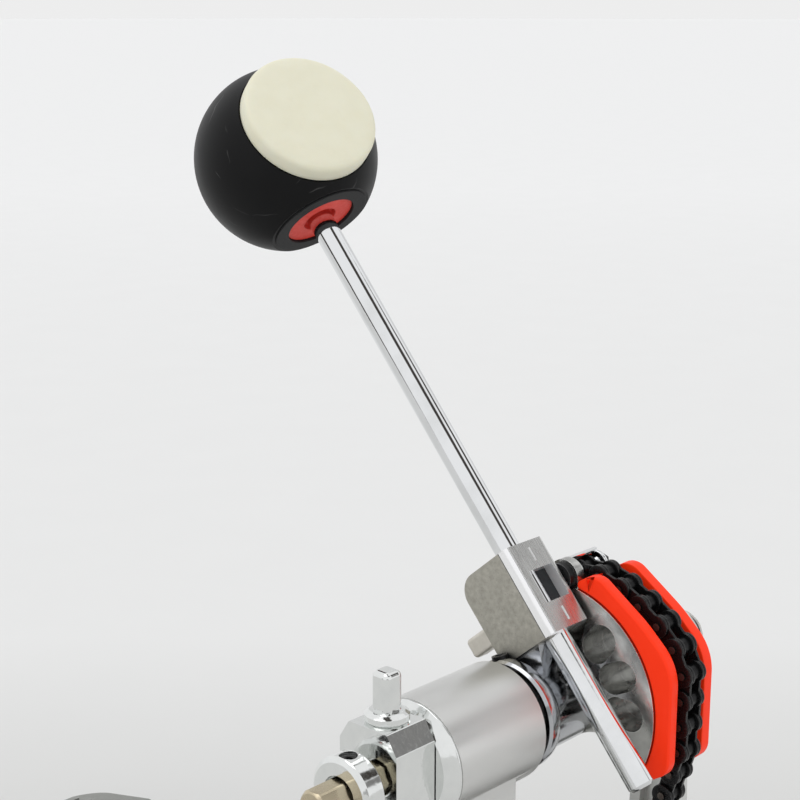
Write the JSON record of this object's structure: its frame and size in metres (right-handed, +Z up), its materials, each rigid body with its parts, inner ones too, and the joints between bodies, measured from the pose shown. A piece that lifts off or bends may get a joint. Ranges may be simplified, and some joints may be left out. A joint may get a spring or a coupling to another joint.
{
  "type": "bass drum pedal",
  "caption": "Chain-driven bass drum pedal: round beater on a rod, cam with red rails, uprights, spring, footboard and hoop clamp.",
  "frame": {"origin": "on the floor under the sole, straight below the shaft axis in the plane of the beater rod", "axes": "+X to the player's right along the shaft, +Y towards the drum, +Z up"},
  "size_m": [0.1805, 0.396, 0.3559],
  "materials": {
    "black_steel": "satin black powder coat",
    "rubber": "matt",
    "zinc_steel": "zinc plated",
    "satin_aluminium": "satin",
    "bearing_steel": "ground",
    "tinted_steel": "bronze-tinted plating",
    "black_plastic": "matt",
    "chrome": "mirror",
    "black_screw": "black oxide",
    "cast_metal": "matt tumbled casting",
    "polished_steel": "polished",
    "nickel_steel": "nickel plated",
    "polished_aluminium": "polished casting",
    "orange_red_plastic": "satin",
    "black_chain": "black oxide",
    "chain_pin_steel": "dark, lightly oiled",
    "black_ball_plastic": "satin",
    "cream_pad": "matt",
    "dark_grey_plastic": "satin",
    "red_core_rubber": "satin",
    "spring_wire": "bright nickel",
    "board_aluminium": "satin casting"
  },
  "bodies": {
    "frame": {"base_plate": "black_steel", "base_sole": "rubber", "base_screws": "zinc_steel", "near_upright": "satin_aluminium", "far_upright": "satin_aluminium", "bearing_cap": "chrome", "bearing_outer_rings": "bearing_steel", "bearing_balls": "bearing_steel", "spring_stud": "zinc_steel", "spring_foot_pin": "zinc_steel", "stud_nut": "zinc_steel", "heel_plate": "board_aluminium", "heel_pin": "zinc_steel", "lower_hoop_pad": "rubber", "jaw_pivot_pin": "zinc_steel"},
    "shaft_group": {"hex_shaft": "tinted_steel", "bearing_inner_rings": "bearing_steel", "shaft_spacers": "black_plastic", "shaft_clip": "zinc_steel", "end_collar": "chrome", "beater_hub": "cast_metal", "rod_clamp_plate": "polished_steel", "beater_bolt": "nickel_steel", "set_screws": "black_screw", "cam_wheel": "polished_aluminium", "near_cam_rail": "orange_red_plastic", "far_cam_rail": "orange_red_plastic", "chain_anchor_screw": "black_screw", "chain_bracket": "chrome", "cam_chain_plates": "black_chain", "cam_chain_pins": "chain_pin_steel", "spring_rocker": "chrome", "rocker_bolt": "chrome", "rocker_pin": "zinc_steel"},
    "rod": {"beater_rod": "chrome"},
    "beater": {"beater_ball": "black_ball_plastic", "beater_pad": "cream_pad", "beater_end_ring": "dark_grey_plastic", "beater_core": "red_core_rubber", "beater_top_screw": "zinc_steel"},
    "middle_chain": {"middle_chain_plates": "black_chain", "middle_chain_pins": "chain_pin_steel"},
    "lower_chain": {"lower_chain_plates": "black_chain", "lower_chain_pins": "chain_pin_steel", "chain_end_plate": "black_chain"},
    "board": {"footboard": "board_aluminium", "toe_clevis": "zinc_steel", "clevis_pin": "zinc_steel", "clevis_screws": "black_screw"},
    "spring_low": {"lower_spring_link": "zinc_steel", "return_spring": "spring_wire"},
    "spring_high": {"upper_spring_link": "zinc_steel"},
    "tension_nut": {"tension_nut": "chrome"},
    "jaw": {"clamp_jaw": "black_steel", "jaw_pad": "rubber"},
    "jaw_foot": {"clamp_foot": "zinc_steel"},
    "wing_bolt": {"wing_bolt": "chrome"},
    "far_spur": {"far_spur": "chrome"},
    "near_spur": {"near_spur": "chrome"}
  },
  "joints": [
    {"name": "beater_swing", "type": "hinge", "parent": "frame", "child": "shaft_group", "pos_m": [0, 0, 0.168], "axis": [-1, 0, 0], "range_deg": [-8, 44], "stiffness_Nm_per_rad": 2},
    {"name": "rod_height", "type": "slide", "parent": "shaft_group", "child": "rod", "axis": [0, -0.6481, 0.7615], "range_m": [-0.012, 0.02]},
    {"name": "beater_turn", "type": "hinge", "parent": "rod", "child": "beater", "pos_m": [0, 0.01523, 0.18096], "axis": [0, -0.6481, 0.7615], "continuous": true},
    {"name": "chain_unwrap", "type": "hinge", "parent": "shaft_group", "child": "middle_chain", "pos_m": [-0.02125, 0.03922, 0.18194], "axis": [-1, 0, 0], "range_deg": [-36.2, 6.7]},
    {"name": "chain_bend", "type": "hinge", "parent": "middle_chain", "child": "lower_chain", "pos_m": [-0.02125, 0.0385, 0.15795], "axis": [-1, 0, 0], "range_deg": [-19.2, 3.6]},
    {"name": "board_press", "type": "hinge", "parent": "frame", "child": "board", "pos_m": [-0.015, -0.24, 0.024], "axis": [-1, 0, 0], "range_deg": [-1.4, 7.3]},
    {"name": "spring_sway", "type": "hinge", "parent": "frame", "child": "spring_low", "pos_m": [0.065, -0.00569, 0.04575], "axis": [1, 0, 0], "range_deg": [-1.4, 7.6]},
    {"name": "spring_stretch", "type": "slide", "parent": "spring_low", "child": "spring_high", "axis": [0, 0, 1], "range_m": [-0.0018, 0.0095], "deforming": ["return_spring"]},
    {"name": "tension_nut_turn", "type": "hinge", "parent": "frame", "child": "tension_nut", "pos_m": [0.065, -0.00569, 0.017], "axis": [0, 0, 1], "continuous": true},
    {"name": "jaw_close", "type": "hinge", "parent": "frame", "child": "jaw", "pos_m": [-0.015, 0.048, 0.024], "axis": [-1, 0, 0], "range_deg": [0, 11.4]},
    {"name": "jaw_foot_out", "type": "slide", "parent": "jaw", "child": "jaw_foot", "axis": [0, 0, -1], "range_m": [-0.0001, 0.0045]},
    {"name": "wing_bolt_turn", "type": "hinge", "parent": "jaw_foot", "child": "wing_bolt", "pos_m": [-0.015, 0.026, 0.03], "axis": [0, 0, -1], "range_deg": [-5, 1265]},
    {"name": "far_spur_drive", "type": "slide", "parent": "frame", "child": "far_spur", "axis": [0, 0, 1], "range_m": [-0.001, 0.008]},
    {"name": "near_spur_drive", "type": "slide", "parent": "frame", "child": "near_spur", "axis": [0, 0, 1], "range_m": [-0.001, 0.008]}
  ],
  "couplings": [
    {"joint": "chain_unwrap", "follows": "beater_swing", "ratio": -0.818},
    {"joint": "chain_bend", "follows": "beater_swing", "ratio": -0.4313},
    {"joint": "board_press", "follows": "beater_swing", "ratio": 0.164},
    {"joint": "spring_sway", "follows": "beater_swing", "ratio": 0.1701},
    {"joint": "spring_stretch", "follows": "beater_swing", "m_per_rad": 0.012223},
    {"joint": "wing_bolt_turn", "follows": "jaw_close", "ratio": 110.58},
    {"joint": "jaw_foot_out", "follows": "jaw_close", "m_per_rad": 0.022}
  ]
}
